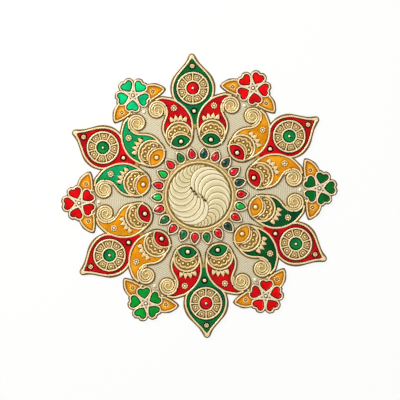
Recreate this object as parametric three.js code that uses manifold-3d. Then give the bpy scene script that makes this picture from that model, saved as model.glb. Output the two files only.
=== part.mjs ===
// A flat ornamental thali plate with six ogee petals and six flower lobes.
// Millimetres, +Z up. The origin is the middle of the flat underside, and +Y runs
// through the tip of the first petal. Petals and lobes are counted counterclockwise.
import * as THREE from "three";
import { mergeVertices } from "three/addons/utils/BufferGeometryUtils.js";
import Module from "manifold-3d";

const wasm = await Module();
wasm.setup();

// Layout of the whole plate
const SECTORS = 6;
const PLATE_RADIUS = 150;
const BASE_THICKNESS = 2;
const FLANGE_WIDTH = 1.6;
const CLEARANCE = 0.3;

// Cloison ridges and the enamel between them
const RIDGE_WIDTH = 1.7;
const RIDGE_CREST = 1;
const RIDGE_RISE = 0.9;
const ENAMEL_DEPTH = 1.2;

// Centre medallion: two fans of overlapping scales inside one rim, and the bezel round it
const MEDALLION_RADIUS = 33;
const MEDALLION_FLOOR = 0.9;
const FAN_SCALES = 8;
const FAN_RADIUS = 17.3;
const FAN_RATIO = 0.86;
const FAN_ANGLE = 56;
const FAN_STEP = 16;
const FAN_RISE = 0.2;
const FAN_MARGIN = 0.5;
const BEZEL_WIDTH = 3.2;
const BEZEL_RIDGE = 1.2;
const BEZEL_HEIGHT = 2.4;
const BEZEL_SHOULDER = 1.2;

// Ring of drop stones in their cups
const STONE_COUNT = 22;
const STONE_ANGLE = 6.8;
const STONE_ORBIT = 43;
const STONE_RADIUS = 4.05;
const STONE_POINT = 7.2;
const STONE_WAIST = 0.73;
const STONE_SHOULDER = 0.53;
const STONE_HEIGHT = 2.2;
const STONE_GIRDLE = 1.3;
const STONE_BEVEL = 1.4;
const CUP_WALL = 0.8;
const CUP_FOOT = 2;
const CUP_HEIGHT = 2;
const GALLERY_FLOOR = 0.7;

// Paisleys: +Y of their frame leads outward from the bulb's middle, +X to the middle of the lobe
const PAISLEY_ORBIT = 67;
const PAISLEY_SPREAD = 15;
const BULB_RADIUS = 13.4;
const BACK_CURVE = [
  [-12.7, -4.3], [-16.1, 4], [-17.6, 12], [-16.6, 20],
  [-13.2, 28], [-6.8, 36], [1.9, 41.2], [12, 42.4],
];
const BELLY_CURVE = [[13.4, 1], [14.3, 5.5], [13.9, 11], [11.4, 16.5], [7.8, 20.8], [4.7, 24.8]];
const VOLUTE_CENTRE = [13.9, 31.9];
const VOLUTE_RADIUS = 10.9;
const VOLUTE_PITCH = 5.4;
const VOLUTE_TURNS = 1.45;
const VOLUTE_THROAT = 0.8;
const EYE_CENTRE = [0.9, -11];
const EYE_RADIUS = 11.4;
const EYE_PEARL = [0.2, -7];
const EYE_PEARL_RADIUS = 2;
const CROWN_PETALS = 4;
const CROWN_ANGLE = 83;
const CROWN_STEP = 16;
const CROWN_RISE = 0.6;
const CROWN_TIP = 21.6;
const CROWN_VALLEY = 18.4;
const CROWN_FOOT = 15.4;

// Petals, measured from the middle of their medallion
const PETAL_ORBIT = 112.9;
const PETAL_RADIUS = 21.2;
const PETAL_SHOULDER = -42;
const PETAL_SPRING = 48;
const OGEE_CURVE = [[10, 21.1], [5, 25.9], [2.2, 30]];
const TIP_BEAD_RADIUS = 4;
const STEM_ORBIT = 74.5;
const STEM_HALF_WIDTH = 2.5;
const PETAL_BORDER = 2.9;
const FOOT_PEARL_DROP = 24;
const PETAL_PEARL_RADIUS = 1.9;
const TIP_PEARL_DROP = 10;

// Petal medallions
const ROSE_RIM = 1.5;
const ROSE_HUB = 8;
const ROSE_SPOKES = 8;
const ROSE_TWIST = -3;
const SPOKE_WIDTH = 1.3;
const ROSE_FLOOR = 0.6;
const ROSE_HEIGHT = 1.4;
const ROSE_PEARL_RADIUS = 1.5;

// Flowers, measured from the point where their five hearts meet
const FLOWER_ORBIT = 126;
const HEARTS = 5;
const HEART_SIDE = [[0, 4.9], [3.6, 8.3], [6.4, 12.2], [3.7, 16.3]];
const HEART_NOTCH = [0, 15.2];
const HEART_BEZEL = 1.7;
const HEART_FLANGE = 1.1;
const HEART_RISE = 1;
const HEART_BEVEL = 0.9;
const FLOWER_HUB = 5;
const FLOWER_PEARL_RADIUS = 1.9;
const LEAF_CURVE = [
  [-10, -12.6], [-20, -14.8], [-26, -14], [-31, -11.8],
  [-29.4, -7.2], [-25.4, -2.4], [-19, 0.6], [-10, 1],
];
const FIELD_HALF_WIDTH = 18;

// Heights that the layers share, with a cutting tool's top over them all, and a ridge's half width
const ENAMEL_TOP = BASE_THICKNESS + ENAMEL_DEPTH;
const RIDGE_TOP = ENAMEL_TOP + RIDGE_RISE;
const RIDGE_EDGE = RIDGE_WIDTH / 2;
const SECTOR_ANGLE = 360 / SECTORS;
const TOOL_TOP = 2 * RIDGE_TOP;

// Facets of the round forms, and the longest corner of a mitre in widths of its strip
const RIM_FACETS = 30;
const FAN_FACETS = 16;
const LEAST_FACETS = 8;
const BULB_FACETS = 12;
const ROSE_FACETS = 12;
const PEARL_FACETS = 6;
const VOLUTE_FACETS = 8;
const BACK_STEPS = 6;
const BELLY_STEPS = 4;
const EYE_STEPS = 3;
const PETAL_STEPS = 5;
const OGEE_STEPS = 3;
const DROP_STEPS = 3;
const MITRE_LIMIT = 1.6;
const FLATNESS = 0.001;
const PEARL_SEAT = 0.2;
const PEARL_SHOULDER = 0.4;

// Points and flat outlines

const radians = THREE.MathUtils.degToRad;
const toPoints = (pairs) => pairs.map(([x, y]) => new THREE.Vector2(x, y));
const mirrored = (points) => points.map((p) => new THREE.Vector2(-p.x, p.y)).reverse();
const shifted = (points, x, y) => points.map((p) => new THREE.Vector2(p.x + x, p.y + y));
const turned = (points, degrees) =>
  points.map((p) => p.clone().rotateAround(new THREE.Vector2(), radians(degrees)));
const curve = (points, steps) => new THREE.SplineCurve(points).getPoints(steps);

function polar(radius, degrees, [x, y] = [0, 0]) {
  const angle = radians(degrees);
  return new THREE.Vector2(x + radius * Math.cos(angle), y + radius * Math.sin(angle));
}

function arc(radius, from, to, steps, centre) {
  return Array.from({ length: steps + 1 }, (_, i) => polar(radius, from + ((to - from) * i) / steps, centre));
}

// How each point moves when a line is set off to its right by one, with its corners kept square
function offsetWays(points, closed) {
  const last = points.length - 1;
  return points.map((point, i) => {
    const before = i > 0 || closed ? points.at(i - 1) : point;
    const after = i < last || closed ? points[(i + 1) % points.length] : point;
    const arriving = point.clone().sub(before).normalize();
    const leaving = after.clone().sub(point).normalize();
    const heading = arriving.clone().add(leaving).normalize();
    const along = leaving.lengthSq() > 0 ? leaving : arriving;
    const stretch = Math.min(1 / Math.max(heading.dot(along), 1 / MITRE_LIMIT), MITRE_LIMIT);
    return new THREE.Vector2(heading.y, -heading.x).multiplyScalar(stretch);
  });
}

// A closed counterclockwise outline moved outward by a distance
function grown(outline, distance) {
  const ways = offsetWays(outline, true);
  return outline.map((point, i) => point.clone().addScaledVector(ways[i], distance));
}

// The outline of an even strip along an open line
function strip(line, width) {
  const ways = offsetWays(line, false);
  const right = line.map((point, i) => point.clone().addScaledVector(ways[i], width / 2));
  const left = line.map((point, i) => point.clone().addScaledVector(ways[i], -width / 2));
  return [...right, ...left.reverse()];
}

// Solids

function solid(geometry) {
  const bare = geometry.clone();
  bare.deleteAttribute("normal");
  bare.deleteAttribute("uv");
  const merged = mergeVertices(bare, 1e-4);
  const vertProperties = merged.attributes.position.array;
  const triVerts = new Uint32Array(merged.index.array);
  return new wasm.Manifold(new wasm.Mesh({ numProp: 3, vertProperties, triVerts }));
}

// Level faces that a join or a cut leaves in pieces become one face again
const tidy = (made) => made.asOriginal().simplify(FLATNESS);
const join = (solids) => tidy(solids.reduce((whole, next) => whole.add(next)));
const cut = (whole, solids) => tidy(solids.reduce((rest, next) => rest.subtract(next), whole));

// A solid through level outlines of as many points, each given as [outline, height], lowest first
function loft(...levels) {
  const count = levels[0][0].length;
  const top = (levels.length - 1) * count;
  const faces = [];
  for (let i = 0; i < top; i += 1) {
    const next = i - (i % count) + ((i + 1) % count);
    faces.push(i, next, next + count, i, next + count, i + count);
  }
  const lowest = THREE.ShapeUtils.triangulateShape(levels[0][0], []);
  const highest = THREE.ShapeUtils.triangulateShape(levels.at(-1)[0], []);
  lowest.forEach(([a, b, c]) => faces.push(c, b, a));
  highest.forEach(([a, b, c]) => faces.push(top + a, top + b, top + c));
  const positions = levels.flatMap(([outline, z]) => outline.flatMap((p) => [p.x, p.y, z]));
  const geometry = new THREE.BufferGeometry();
  geometry.setAttribute("position", new THREE.Float32BufferAttribute(positions, 3));
  geometry.setIndex(faces);
  return solid(geometry);
}

const slab = (outline, low, high) => loft([outline, low], [outline, high]);

// A cloison: a ridge of tapered section along an open line, standing on the base plate
const ridge = (line) =>
  loft([strip(line, RIDGE_WIDTH), BASE_THICKNESS], [strip(line, RIDGE_CREST), RIDGE_TOP]);

function placed(geometry, [x, y], z) {
  geometry.rotateX(Math.PI / 2);
  geometry.translate(x, y, z);
  return solid(geometry);
}

// A solid of revolution from a profile of [radius, height], starting and ending on the axis or closed
const revolved = (profile, facets, centre = [0, 0]) =>
  placed(new THREE.LatheGeometry(toPoints(profile), facets), centre, 0);

const disc = (radius, low, high, facets, centre = [0, 0]) =>
  placed(new THREE.CylinderGeometry(radius, radius, high - low, facets), centre, (low + high) / 2);

// A half-round pearl, which stands on a face of the given height
function pearl(radius, centre, z) {
  const foot = z - PEARL_SEAT;
  const shoulder = z + radius * PEARL_SHOULDER;
  const profile = [[0, foot], [radius, foot], [radius, shoulder], [radius / 2, z + radius], [0, z + radius]];
  return revolved(profile, PEARL_FACETS, centre);
}

// The lines of a paisley, in its own frame

const backLine = () => curve(toPoints(BACK_CURVE), BACK_STEPS);

const voluteAt = (turns) => polar(VOLUTE_RADIUS - VOLUTE_PITCH * turns, 180 - 360 * turns, VOLUTE_CENTRE);

function voluteLine(turns) {
  const steps = Math.round(turns * VOLUTE_FACETS);
  return Array.from({ length: steps + 1 }, (_, i) => voluteAt((turns * i) / steps));
}

const bellyLine = () => curve([...toPoints(BELLY_CURVE), voluteAt(0)], BELLY_STEPS);

// The outlines that make up a paisley's plan, on the middle of its ridges
function paisleyPlan() {
  const belly = bellyLine();
  const bulb = arc(BULB_RADIUS, 0, 360 - 360 / BULB_FACETS, BULB_FACETS - 1);
  const tail = [...belly, voluteAt(1 / VOLUTE_FACETS), ...backLine().reverse()];
  const volute = [...voluteLine(VOLUTE_THROAT).reverse(), belly.at(-2)];
  return [bulb, tail, volute];
}

// The plan of the two paisleys that lean away from an axis by an angle, with a margin round it
function paisleyPair(lean, margin) {
  const plan = paisleyPlan().map((outline) => shifted(grown(outline, margin), 0, PAISLEY_ORBIT));
  const facing = lean > 0 ? plan : plan.map(mirrored);
  const first = facing.map((outline) => turned(outline, Math.abs(lean)));
  return [...first, ...first.map(mirrored)];
}

// The same pair as a tool that leaves room for the paisleys in a neighbour
function paisleyRoom(lean) {
  const outlines = paisleyPair(lean, RIDGE_EDGE + CLEARANCE);
  return outlines.map((outline) => slab(outline, 0, TOOL_TOP));
}

const LOBE_LEAN = PAISLEY_SPREAD;
const PETAL_LEAN = PAISLEY_SPREAD - SECTOR_ANGLE / 2;

// Where the ridge over the eye meets the ring of the bulb, as angles round the eye's centre
function eyeAngles() {
  const reach = Math.hypot(...EYE_CENTRE);
  const middle = THREE.MathUtils.radToDeg(Math.atan2(-EYE_CENTRE[1], -EYE_CENTRE[0]));
  const share = (EYE_RADIUS ** 2 + reach ** 2 - BULB_RADIUS ** 2) / (2 * EYE_RADIUS * reach);
  const half = THREE.MathUtils.radToDeg(Math.acos(share));
  return [middle - half, middle + half];
}

function bulbRing() {
  const foot = RIDGE_EDGE;
  const crest = RIDGE_CREST / 2;
  return revolved(
    [
      [BULB_RADIUS - foot, BASE_THICKNESS],
      [BULB_RADIUS + foot, BASE_THICKNESS],
      [BULB_RADIUS + crest, RIDGE_TOP],
      [BULB_RADIUS - crest, RIDGE_TOP],
      [BULB_RADIUS - foot, BASE_THICKNESS],
    ],
    BULB_FACETS,
  );
}

// The crown of lotus petals over the bulb: a tip for each petal and a valley on each side of it
function crown() {
  const from = CROWN_ANGLE - CROWN_STEP / 2;
  const to = from + CROWN_PETALS * CROWN_STEP;
  const tips = Array.from({ length: 2 * CROWN_PETALS - 1 }, (_, i) =>
    polar(i % 2 ? CROWN_VALLEY : CROWN_TIP, CROWN_ANGLE + (i * CROWN_STEP) / 2),
  );
  const foot = arc(CROWN_FOOT, to, from, CROWN_PETALS);
  const outline = [...foot, polar(CROWN_VALLEY, from), ...tips, polar(CROWN_VALLEY, to)];
  return slab(outline, ENAMEL_TOP - CROWN_RISE, ENAMEL_TOP + CROWN_RISE);
}

function paisley() {
  const enamel = paisleyPlan().map((outline) => slab(outline, BASE_THICKNESS, ENAMEL_TOP));
  const cloisons = [
    ridge(backLine()),
    ridge([...bellyLine().slice(0, -1), ...voluteLine(VOLUTE_TURNS)]),
    ridge(arc(EYE_RADIUS, ...eyeAngles(), EYE_STEPS, EYE_CENTRE)),
    bulbRing(),
  ];
  return join([...enamel, ...cloisons, crown(), pearl(EYE_PEARL_RADIUS, EYE_PEARL, ENAMEL_TOP)]);
}

// Petals

// The middle of the ridge that runs from one shoulder over the tip to the other
function petalLine() {
  const centre = [0, PETAL_ORBIT];
  const round = arc(PETAL_RADIUS, PETAL_SHOULDER, PETAL_SPRING, PETAL_STEPS, centre);
  const tip = new THREE.Vector2(0, PLATE_RADIUS - TIP_BEAD_RADIUS);
  const ogee = [round.at(-1), ...shifted(toPoints(OGEE_CURVE), 0, PETAL_ORBIT), tip];
  const side = [...round, ...curve(ogee, OGEE_STEPS).slice(1)];
  return [...side, ...mirrored(side).slice(1)];
}

const petalOutline = () => [
  new THREE.Vector2(STEM_HALF_WIDTH, STEM_ORBIT),
  ...petalLine(),
  new THREE.Vector2(-STEM_HALF_WIDTH, STEM_ORBIT),
];

function petal() {
  const whole = join([
    slab(petalOutline(), BASE_THICKNESS, ENAMEL_TOP),
    ridge(petalLine()),
    pearl(PETAL_PEARL_RADIUS, [0, PETAL_ORBIT - FOOT_PEARL_DROP], ENAMEL_TOP),
    pearl(PETAL_PEARL_RADIUS, [0, PLATE_RADIUS - TIP_BEAD_RADIUS - TIP_PEARL_DROP], ENAMEL_TOP),
  ]);
  return cut(whole, paisleyRoom(PETAL_LEAN));
}

// The round medallion on a petal's enamel, in its own frame
function rose() {
  const radius = PETAL_RADIUS - RIDGE_EDGE - PETAL_BORDER;
  const floor = ENAMEL_TOP + ROSE_FLOOR;
  const top = ENAMEL_TOP + ROSE_HEIGHT;
  const body = revolved(
    [
      [0, ENAMEL_TOP],
      [radius, ENAMEL_TOP],
      [radius, top],
      [radius - ROSE_RIM, top],
      [radius - ROSE_RIM, floor],
      [ROSE_HUB, floor],
      [ROSE_HUB, top],
      [0, top],
    ],
    ROSE_FACETS,
  );
  const inner = ROSE_HUB - SPOKE_WIDTH / 2;
  const outer = radius - ROSE_RIM / 2;
  const spokes = Array.from({ length: ROSE_SPOKES }, (_, i) => {
    const angle = ROSE_TWIST + (360 * i) / ROSE_SPOKES;
    return slab(strip([polar(inner, angle), polar(outer, angle)], SPOKE_WIDTH), floor - ROSE_FLOOR / 2, top);
  });
  return join([body, ...spokes, pearl(ROSE_PEARL_RADIUS, [0, 0], top)]);
}

// Flowers

function heartOutline() {
  const side = toPoints(HEART_SIDE);
  return [...side, ...toPoints([HEART_NOTCH]), ...mirrored(side).slice(0, -1)];
}

// Outlines for the five hearts of one flower and its two leaves, grown by their margins
function flowerPlan(heartMargin, leafMargin) {
  const heart = grown(heartOutline(), heartMargin);
  const hearts = Array.from({ length: HEARTS }, (_, i) => turned(heart, (360 * i) / HEARTS));
  const leaf = grown(leafOutline(), leafMargin);
  return [...hearts, leaf, mirrored(leaf)].map((outline) => shifted(outline, 0, FLOWER_ORBIT));
}

const leafOutline = () => toPoints(LEAF_CURVE).reverse();

function flower() {
  const rims = flowerPlan(HEART_BEZEL, RIDGE_EDGE);
  const bezels = rims.map((outline) => slab(outline, BASE_THICKNESS, RIDGE_TOP));
  const hub = disc(FLOWER_HUB, BASE_THICKNESS, RIDGE_TOP, LEAST_FACETS, [0, FLOWER_ORBIT]);
  const [leafCell, ...rest] = flowerPlan(0, -RIDGE_EDGE).reverse();
  const leafCells = [leafCell, rest[0]].map((outline) => slab(outline, ENAMEL_TOP, TOOL_TOP));
  const hearts = rest.slice(1).map((outline) => {
    const middle = shifted(outline, 0, -FLOWER_ORBIT);
    const table = shifted(grown(middle, -HEART_BEVEL), 0, FLOWER_ORBIT);
    return loft([outline, ENAMEL_TOP], [table, RIDGE_TOP + HEART_RISE]);
  });
  const setting = cut(join([...bezels.slice(HEARTS), hub]), leafCells);
  const eye = pearl(FLOWER_PEARL_RADIUS, [0, FLOWER_ORBIT], RIDGE_TOP);
  return cut(join([setting, ...bezels.slice(0, HEARTS), ...hearts, eye]), paisleyRoom(LOBE_LEAN));
}

// Centre medallion and bezel

function medallion() {
  const floor = BASE_THICKNESS + MEDALLION_FLOOR;
  const scales = [0, 180].flatMap((half) =>
    Array.from({ length: FAN_SCALES }, (_, i) => {
      const radius = FAN_RADIUS * FAN_RATIO ** i;
      const centre = polar(MEDALLION_RADIUS - FAN_MARGIN - radius, half + FAN_ANGLE - i * FAN_STEP);
      const facets = Math.max(LEAST_FACETS, Math.round((FAN_FACETS * radius) / FAN_RADIUS));
      return disc(radius, BASE_THICKNESS, floor + FAN_RISE * (i + 1), facets, centre.toArray());
    }),
  );
  return join([disc(MEDALLION_RADIUS, BASE_THICKNESS, floor, RIM_FACETS), ...scales]);
}

const bezelRadius = () => MEDALLION_RADIUS + CLEARANCE + BEZEL_WIDTH;

function bezel() {
  const inner = MEDALLION_RADIUS + CLEARANCE;
  const outer = bezelRadius();
  const slope = (BEZEL_WIDTH - 2 * BEZEL_RIDGE) / 2;
  return revolved(
    [
      [inner, BASE_THICKNESS],
      [outer, BASE_THICKNESS],
      [outer, BASE_THICKNESS + BEZEL_SHOULDER],
      [inner + BEZEL_RIDGE + slope, BASE_THICKNESS + BEZEL_SHOULDER],
      [inner + BEZEL_RIDGE, BASE_THICKNESS + BEZEL_HEIGHT],
      [inner, BASE_THICKNESS + BEZEL_HEIGHT],
      [inner, BASE_THICKNESS],
    ],
    RIM_FACETS,
  );
}

// Drop stones, and the ring with a cup for each of them

function dropOutline() {
  const round = arc(STONE_RADIUS, 180, 360, DROP_STEPS, [0, STONE_ORBIT]);
  const side = new THREE.Vector2(STONE_RADIUS * STONE_WAIST, STONE_ORBIT + STONE_POINT * STONE_SHOULDER);
  const tip = new THREE.Vector2(0, STONE_ORBIT + STONE_POINT);
  return [...round, side, tip, new THREE.Vector2(-side.x, side.y)];
}

function dropStone() {
  const outline = dropOutline();
  const foot = BASE_THICKNESS + GALLERY_FLOOR;
  const top = foot + STONE_HEIGHT;
  return loft([outline, foot], [outline, foot + STONE_GIRDLE], [grown(outline, -STONE_BEVEL), top]);
}

const stoneAngle = (i) => STONE_ANGLE + (360 * i) / STONE_COUNT;

function gallery() {
  const inner = bezelRadius() + CLEARANCE;
  const outer = PAISLEY_ORBIT - BULB_RADIUS - RIDGE_EDGE - CLEARANCE;
  const floor = BASE_THICKNESS + GALLERY_FLOOR;
  const foot = grown(dropOutline(), CLEARANCE + CUP_FOOT);
  const brim = grown(dropOutline(), CLEARANCE + CUP_WALL);
  const pocket = grown(dropOutline(), CLEARANCE);
  const angles = Array.from({ length: STONE_COUNT }, (_, i) => stoneAngle(i));
  const cups = angles.map((angle) =>
    loft([turned(foot, angle), BASE_THICKNESS], [turned(brim, angle), BASE_THICKNESS + CUP_HEIGHT]),
  );
  const pockets = angles.map((angle) => slab(turned(pocket, angle), floor, TOOL_TOP));
  const ring = disc(STONE_ORBIT, BASE_THICKNESS, floor, RIM_FACETS);
  const within = join([ring, ...cups]).intersect(disc(outer, 0, TOOL_TOP, RIM_FACETS));
  return cut(within, [disc(inner, 0, TOOL_TOP, RIM_FACETS), ...pockets]);
}

// Base plate, whose edge follows everything that stands on it

function basePlate() {
  const margin = RIDGE_EDGE + FLANGE_WIDTH;
  const fieldEnd = FLOWER_ORBIT - FLOWER_HUB;
  const field = toPoints([
    [-FIELD_HALF_WIDTH, PAISLEY_ORBIT],
    [FIELD_HALF_WIDTH, PAISLEY_ORBIT],
    [FIELD_HALF_WIDTH, fieldEnd],
    [-FIELD_HALF_WIDTH, fieldEnd],
  ]);
  const lobe = [
    ...flowerPlan(HEART_BEZEL + HEART_FLANGE, RIDGE_EDGE + HEART_FLANGE),
    ...paisleyPair(LOBE_LEAN, margin),
    field,
  ];
  const pieces = [disc(PAISLEY_ORBIT + BULB_RADIUS, 0, BASE_THICKNESS, RIM_FACETS)];
  for (let k = 0; k < SECTORS; k += 1) {
    const angle = k * SECTOR_ANGLE;
    const tip = polar(PLATE_RADIUS - TIP_BEAD_RADIUS, 90 + angle).toArray();
    const heartMeet = polar(FLOWER_ORBIT, 90 + angle + SECTOR_ANGLE / 2).toArray();
    pieces.push(slab(turned(grown(petalOutline(), margin), angle), 0, BASE_THICKNESS));
    pieces.push(disc(TIP_BEAD_RADIUS, 0, BASE_THICKNESS, LEAST_FACETS, tip));
    pieces.push(disc(HEART_NOTCH[1], 0, BASE_THICKNESS, LEAST_FACETS, heartMeet));
    lobe.forEach((outline) => {
      pieces.push(slab(turned(outline, angle + SECTOR_ANGLE / 2), 0, BASE_THICKNESS));
    });
  }
  return join(pieces);
}

// Finishes

const look = (color, roughness, metalness) => new THREE.MeshStandardMaterial({ color, roughness, metalness });
const GOLD = look("#8f7344", 0.4, 0.8);
const PALE_GOLD = look("#e4d3a2", 0.4, 0.5);
const CREAM = look("#ecdfb4", 0.5, 0.2);
const OLD_GOLD = look("#c9b071", 0.4, 0.7);
const GREEN = look("#138134", 0.15, 0);
const RED = look("#c4120f", 0.15, 0);
const ORANGE = look("#ea9b16", 0.15, 0);
const BRIGHT_GREEN = look("#18b75f", 0.15, 0);
const DARK_GREEN = look("#0a5c27", 0.15, 0);

const PETAL_LOOKS = [GREEN, RED, RED, GREEN, RED, RED];
const PAISLEY_LOOKS = [RED, BRIGHT_GREEN, ORANGE, RED, DARK_GREEN, ORANGE];
const FLOWER_LOOKS = [BRIGHT_GREEN, RED, GREEN, RED, DARK_GREEN, RED];

function part(name, form, material) {
  const { vertProperties, triVerts } = form.getMesh();
  const geometry = new THREE.BufferGeometry();
  geometry.setAttribute("position", new THREE.BufferAttribute(vertProperties, 3));
  geometry.setIndex(new THREE.BufferAttribute(triVerts, 1));
  geometry.computeVertexNormals();
  const mesh = new THREE.Mesh(geometry, material);
  mesh.name = name;
  return mesh;
}

// The assembly

const plate = new THREE.Group();
plate.add(part("base_plate", basePlate(), GOLD));
plate.add(part("centre_medallion", medallion(), CREAM));
plate.add(part("centre_bezel", bezel(), PALE_GOLD));
plate.add(part("stone_gallery", gallery(), PALE_GOLD));

const stoneForm = dropStone();
for (let i = 0; i < STONE_COUNT; i += 1) {
  const stone = part(`drop_stone_${String(i + 1).padStart(2, "0")}`, stoneForm, i % 2 ? DARK_GREEN : RED);
  stone.rotation.z = radians(stoneAngle(i));
  plate.add(stone);
}

const forms = { petal: petal(), rose: rose(), paisley: paisley(), flower: flower() };
for (let k = 0; k < SECTORS; k += 1) {
  const sector = new THREE.Group();
  sector.rotation.z = radians(k * SECTOR_ANGLE);

  const medal = part(`petal_medallion_${k + 1}`, forms.rose, OLD_GOLD);
  medal.position.y = PETAL_ORBIT;
  sector.add(part(`petal_${k + 1}`, forms.petal, PETAL_LOOKS[k]), medal);

  [["left", 1], ["right", -1]].forEach(([side, way]) => {
    const arm = new THREE.Group();
    const form = part(`paisley_${k + 1}_${side}`, forms.paisley, PAISLEY_LOOKS[k]);
    arm.rotation.z = radians(-way * PETAL_LEAN);
    form.position.y = PAISLEY_ORBIT;
    form.scale.x = -way;
    arm.add(form);
    sector.add(arm);
  });

  const blossom = part(`flower_${k + 1}`, forms.flower, FLOWER_LOOKS[k]);
  blossom.rotation.z = radians(SECTOR_ANGLE / 2);
  sector.add(blossom);
  plate.add(sector);
}

export default plate;
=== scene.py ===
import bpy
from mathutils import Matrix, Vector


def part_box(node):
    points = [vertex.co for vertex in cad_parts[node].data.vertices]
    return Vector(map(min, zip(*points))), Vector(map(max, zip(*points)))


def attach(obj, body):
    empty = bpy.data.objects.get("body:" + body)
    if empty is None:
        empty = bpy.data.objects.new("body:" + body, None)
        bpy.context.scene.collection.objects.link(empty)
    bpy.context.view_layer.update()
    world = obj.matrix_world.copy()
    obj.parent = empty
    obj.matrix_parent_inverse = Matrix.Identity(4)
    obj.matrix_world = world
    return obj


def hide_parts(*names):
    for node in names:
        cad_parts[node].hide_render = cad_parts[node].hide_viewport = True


bl_info = {
    "name": "Thali plate",
    "version": (1, 0, 0),
    "blender": (4, 5, 0),
    "location": "View3D > Sidebar > Thali",
    "description": "Enamelled and gilded thali plate, built over its solid model",
    "category": "Add Mesh",
}

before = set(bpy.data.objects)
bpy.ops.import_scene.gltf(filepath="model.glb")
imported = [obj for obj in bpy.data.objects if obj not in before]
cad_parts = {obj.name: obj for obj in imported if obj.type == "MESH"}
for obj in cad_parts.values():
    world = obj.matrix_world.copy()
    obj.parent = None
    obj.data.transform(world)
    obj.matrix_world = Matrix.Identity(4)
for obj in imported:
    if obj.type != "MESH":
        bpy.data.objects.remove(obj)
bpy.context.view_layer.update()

import cmath
import math

import bmesh
import bpy
from bpy.props import FloatProperty, FloatVectorProperty, PointerProperty
from mathutils import Matrix, Vector
from mathutils.geometry import delaunay_2d_cdt
from mathutils.kdtree import KDTree

# The plan is drawn with complex numbers in millimetres: x to the right, y up the photo.
MM = 0.001
BODY = "root"


def top(node):
    """The height of a solid's highest point, in millimetres."""
    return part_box(node)[1][2] / MM


def foot(node):
    """The height of a solid's lowest point, in millimetres."""
    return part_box(node)[0][2] / MM


# Layout, shared with the solid model
SECTORS = 6
SECTOR_ANGLE = 360 / SECTORS
BASE_TOP = top("base_plate")
ENAMEL_TOP = foot("petal_medallion_1")
RIDGE_TOP = ENAMEL_TOP + 0.9
STONE_FOOT = foot("drop_stone_01")
FIELD_TOP = BASE_TOP + 0.1

MEDALLION_RADIUS = 33
STONE_COUNT = 22
STONE_ANGLE = 6.8
PAISLEY_ORBIT = 67
PAISLEY_SPREAD = 15
PETAL_ORBIT = 112.9
FLOWER_ORBIT = 126
HEARTS = 5
SPOKES = 8

# Lines of the ornament. Paisley: origin in the middle of its bulb, y outward, x to the lobe's middle
BULB_RADIUS = 13.4
BACK_CURVE = [(-12.7, -4.3), (-14.6, 0), (-16.1, 4), (-17.6, 12), (-16.6, 20), (-13.2, 28),
              (-6.8, 36), (1.9, 41.2), (6, 42.7), (12, 42.6)]
BELLY_CURVE = [(13.4, 1), (14.3, 5.5), (13.9, 11), (11.4, 16.5), (7.8, 20.8), (5.0, 24.8), (3.9, 28)]
VOLUTE_CENTRE = 13.9 + 31.9j
VOLUTE_RADIUS = 10.9
CURL_CENTRE = 13.5 + 31.7j
CURL_RADII = [9.7, 9.2, 7.8, 6.2, 5.3, 4.3, 3.0, 2.2, 1.6, 1.0, 0.8]
CURL_TURNS = 2.2
EYE_CENTRE = 0.9 - 11j
EYE_RADIUS = 11.4
EYE_ENDS = (10, 165)
EYE_PEARL = 0.2 - 7j
ROSETTE_PLACE = -3.8 + 28.6j
CROWN_ENDS = (76, 136)
CROWN_TIPS = [(129.6, 21.0), (113.5, 21.6), (97.9, 21.9), (82.5, 21.3)]
SCALLOPS = [(-10.9, 0.6), (-10.6, 3.6), (-9.4, 6.0), (-7.2, 7.5), (-5.6, 7.0), (-4.6, 8.8), (-2.4, 9.8),
            (0, 8.7)]
WAVE = [(-8.8, -1.8), (-6.8, -0.3), (-5.5, 0.9), (-4, 2.2), (-1.6, 2.7), (0, 3.4), (1.8, 2.8), (4, 2.5),
        (5.6, 1.4), (7.6, 0.2)]
BULB_BEADS = [(-7.0, 3.1, 1.25), (-2.7, 5.7, 1.3), (2.6, 5.7, 1.3), (7.5, 3.7, 1.25), (-9.9, 0.1, 0.95),
              (9.9, 0.4, 0.95), (-10.4, -2.8, 0.85), (11.0, -2.5, 0.85)]

# Petal: y outward through its tip
PETAL_EDGE = [(3.4, 74), (6.5, 84), (14, 97), (22, 104.8), (23.3, 108), (23.9, 113), (23.3, 118), (21, 124.2),
              (17, 129.6), (12, 134.5), (8.5, 138.6), (6.5, 141.6), (5.2, 143.8), (3.8, 146.6), (2.3, 148.7),
              (0, 149.5)]
PETAL_SIDE = [(16.5, 98.8), (19.5, 103.2), (20.9, 107.5), (21.3, 112.5), (20.5, 117.5), (18.3, 123),
              (15, 128), (10, 133.6)]
PETAL_CREST = [*PETAL_SIDE, (5.6, 138.4), (2.6, 142.6), (1.0, 145.2), (0, 146)]
PETAL_CELL = [(0, 74.2), (0.9, 75.6), (2.0, 77.3), (3.3, 79.6), (5.3, 83), (8.5, 88.5), (12.5, 94),
              *PETAL_SIDE, (5.2, 138.8), (1.6, 143.8), (0, 145)]
FOOT_END = 81
FOOT_CAP = [(0, 70.5), (1.8, 72), (2.2, 74.5), (1.2, 76), (0, 76.4)]
TIP_CAP = [(0, 144.2), (1.6, 142.4), (3.0, 143.2), (2.4, 145.6), (1.6, 147.2), (0.8, 147.9), (0, 148.1)]
TIP_LEAN = 0.9
FOOT_PEARL = 88.9j
TIP_ROSETTE = 0.8 + 136j

# Petal medallion: a plaque's side, as (radius, degrees off its middle)
PLAQUE_SIDE = [(9.1, 11.5), (9.7, 14.4), (12, 15.0), (13.8, 14.2), (14.4, 12.0), (14.6, 0)]

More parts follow.
